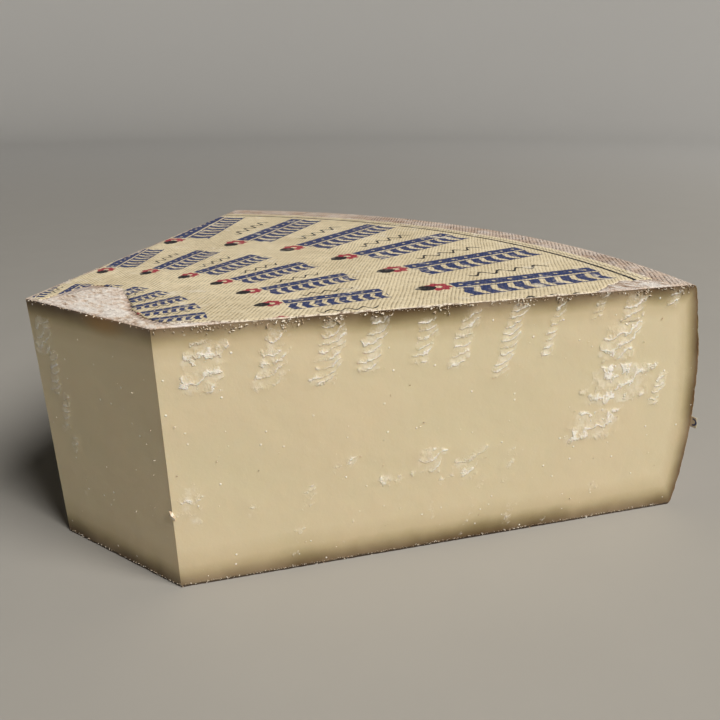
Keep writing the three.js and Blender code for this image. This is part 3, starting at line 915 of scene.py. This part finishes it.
while placed < RIND_CRUMBS:
    place = nose_left.lerp(nose_right, chance.random()) - NOSE.out * chance.uniform(0, 34 * MM)
    if chance.random() < 0.35:
        along = FRONT.along * chance.uniform(188, 232) * MM
        place = nose_right + along - FRONT.out * chance.uniform(0, 14) * MM
    if paper_cover(place) < -0.2 and (FRONT.top - place.dot(FRONT.out)) > 0:
        crumb(place, WHEEL_HEIGHT + 0.1 * MM, chance.uniform(0.35, 0.9) * MM, UP)
        placed += 1

crumb_look, tree, surface = new_look("dry_crumb")
where = put(tree, "TexCoord").outputs["Object"]
each = grain(tree, where, 0.0016, 2)
speck = grain(tree, where, 0.0005, 3)
colour = blend(tree, span(tree, each, 0.4, 0.62), tint(226, 215, 196), tint(176, 148, 114))
colour = blend(tree, span(tree, speck, 0.4, 0.7, 0.0, 0.4), colour, tint(244, 240, 230))
connect(tree, surface, Base_Color=colour, Roughness=calc(tree, "MULTIPLY_ADD", speck, 0.3, 0.5),
        Normal=raised(tree, (speck, 0.0002)))
loose_crumbs = finish_mesh("loose_crumbs", crumbs, crumb_look)
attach(loose_crumbs, "root")

# The studio: a plain pale floor that curves up into a wall all round, a broad key light from the front
# cut's side, and weak light from elsewhere.
FLOOR_RADIUS = 3.2
COVE_RADIUS = 1.4
COVE_STEPS = 12
FLOOR_SEGMENTS = 72
floor = bmesh.new()
profile = [floor.verts.new((0, 0, 0)), floor.verts.new((FLOOR_RADIUS, 0, 0))]
for step in range(1, COVE_STEPS + 1):
    rise_angle = math.pi / 2 * step / COVE_STEPS
    profile.append(floor.verts.new((FLOOR_RADIUS + COVE_RADIUS * math.sin(rise_angle), 0,
                                    COVE_RADIUS * (1 - math.cos(rise_angle)))))
lines = [floor.edges.new(pair) for pair in zip(profile, profile[1:])]
bmesh.ops.spin(floor, geom=profile + lines, axis=(0, 0, 1), cent=(0, 0, 0), angle=math.tau,
               steps=FLOOR_SEGMENTS, use_merge=True)
bmesh.ops.remove_doubles(floor, verts=floor.verts, dist=1e-5)
bmesh.ops.recalc_face_normals(floor, faces=floor.faces)
for face in floor.faces:
    face.smooth = True
floor_look, tree, surface = new_look("pale_floor")
where = put(tree, "TexCoord").outputs["Object"]
dust = grain(tree, where, 0.05, 3)
far = span(tree, put(tree, "VectorMath", {0: where}, operation="LENGTH").outputs["Value"], 0.5, 3.4)
colour = blend(tree, dust, tint(157, 153, 146), tint(161, 157, 150))
connect(tree, surface, Base_Color=blend(tree, far, colour, tint(212, 210, 206)))
surface.inputs["Roughness"].default_value = 0.8
floor = finish_mesh("pale_floor", floor, floor_look)

LIGHT_DISTANCE = 4.5
world = bpy.data.worlds.new("soft_room")
bpy.context.scene.world = world
world.use_nodes = True
world.node_tree.nodes["Background"].inputs["Color"].default_value = (0.95, 0.98, 1, 1)
world.node_tree.nodes["Background"].inputs["Strength"].default_value = 0.014


def soft_light(name, bearing, elevation, size, power, colour):
    """A round soft light aimed at the cheese, its direction given in degrees."""
    data = bpy.data.lights.new(name, "AREA")
    data.shape = "DISK"
    data.size = size
    data.energy = power
    data.color = colour
    made = bpy.data.objects.new(name, data)
    aim = Vector((*MIDDLE, WHEEL_HEIGHT / 2))
    level = math.cos(math.radians(elevation))
    towards = Vector((level * math.cos(math.radians(bearing)), level * math.sin(math.radians(bearing)),
                      math.sin(math.radians(elevation))))
    made.location = aim + towards * LIGHT_DISTANCE
    made.rotation_euler = towards.to_track_quat("Z", "Y").to_euler()
    bpy.context.scene.collection.objects.link(made)


soft_light("key_light", 7, 46, 2.4, 268, (1, 0.98, 0.945))
soft_light("fill_light", -120, 40, 3, 0.4, (1, 0.98, 0.96))

lens = bpy.data.cameras.new("camera")
lens.sensor_width = 36
lens.lens = 34.28
lens.shift_x = -0.05
lens.clip_start = 0.01
camera = bpy.data.objects.new("camera", lens)
EYE_FROM_AXIS = Vector((265.1, -83.9)) * MM
EYE_HEIGHT = 195.3 * MM
VIEW_BEARING = math.radians(131.716)
LOOK_DOWN = math.radians(21.05)
TILT = math.radians(-0.165)
camera.location = (*(AXIS + EYE_FROM_AXIS), EYE_HEIGHT)
sight = Vector((math.cos(VIEW_BEARING) * math.cos(LOOK_DOWN),
                math.sin(VIEW_BEARING) * math.cos(LOOK_DOWN), -math.sin(LOOK_DOWN)))
turn = Matrix.Rotation(TILT, 4, -sight) @ sight.to_track_quat("-Z", "Y").to_matrix().to_4x4()
camera.rotation_euler = turn.to_euler()
bpy.context.scene.collection.objects.link(camera)
bpy.context.scene.camera = camera
bpy.context.scene.view_settings.view_transform = "Standard"
